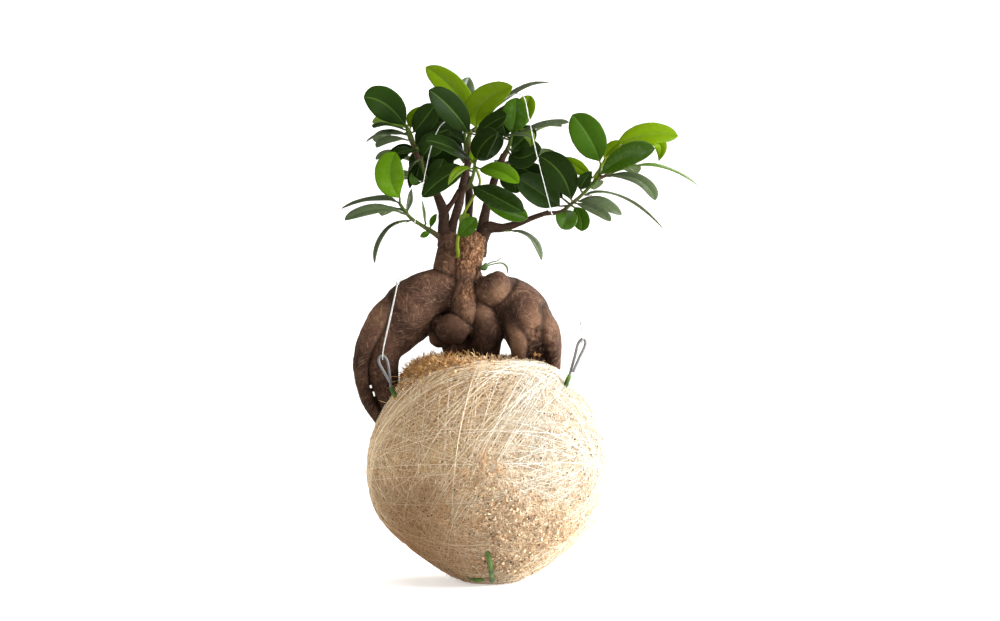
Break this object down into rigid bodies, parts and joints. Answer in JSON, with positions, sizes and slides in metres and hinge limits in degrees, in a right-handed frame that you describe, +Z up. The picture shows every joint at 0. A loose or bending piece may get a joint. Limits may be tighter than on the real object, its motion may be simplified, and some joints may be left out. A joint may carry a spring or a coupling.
{
  "type": "kokedama moss ball plant",
  "caption": "Ficus with swollen bare roots growing astride a coir ball bound with thread, with wire eyes and a nylon line for hanging.",
  "frame": {"origin": "centre of the small flat spot under the ball, on the surface that the ball stands on", "axes": "+Z up along the ball's axis towards the crown, -Y towards the front that the picture shows, +X towards the longest side branch"},
  "size_m": [0.2245, 0.1544, 0.3261],
  "materials": {
    "soil": "matte",
    "coir": "matte",
    "thread": "matte",
    "bark": "matte",
    "leaf": "satin",
    "young_leaf": "satin",
    "wire": "satin",
    "coat": "satin",
    "line": "gloss"
  },
  "bodies": {
    "root": {"soil_core": "soil", "coir_wrap": "coir", "thread_winding": "thread", "ficus_wood": "bark", "hanger_wire_left": "wire", "hanger_coat_left": "coat", "hanger_wire_right": "wire", "hanger_coat_right": "coat", "line_loop_left": "line", "line_loop_right": "line", "hanging_line": "line", "trunk_bud": "young_leaf", "shoot_left_low": "leaf", "shoot_left_inner": "leaf", "shoot_left_top": "leaf", "shoot_crown_top": "leaf", "shoot_crown_back": "leaf", "shoot_centre_right": "leaf", "shoot_centre_front": "leaf", "shoot_right": "leaf", "drooping_leaf": "leaf", "shoot_back_left": "leaf", "shoot_back_middle": "leaf", "shoot_back_right": "leaf", "young_left_top": "young_leaf", "young_crown": "young_leaf", "young_right": "young_leaf", "water_sprout": "young_leaf"}
  },
  "joints": []
}
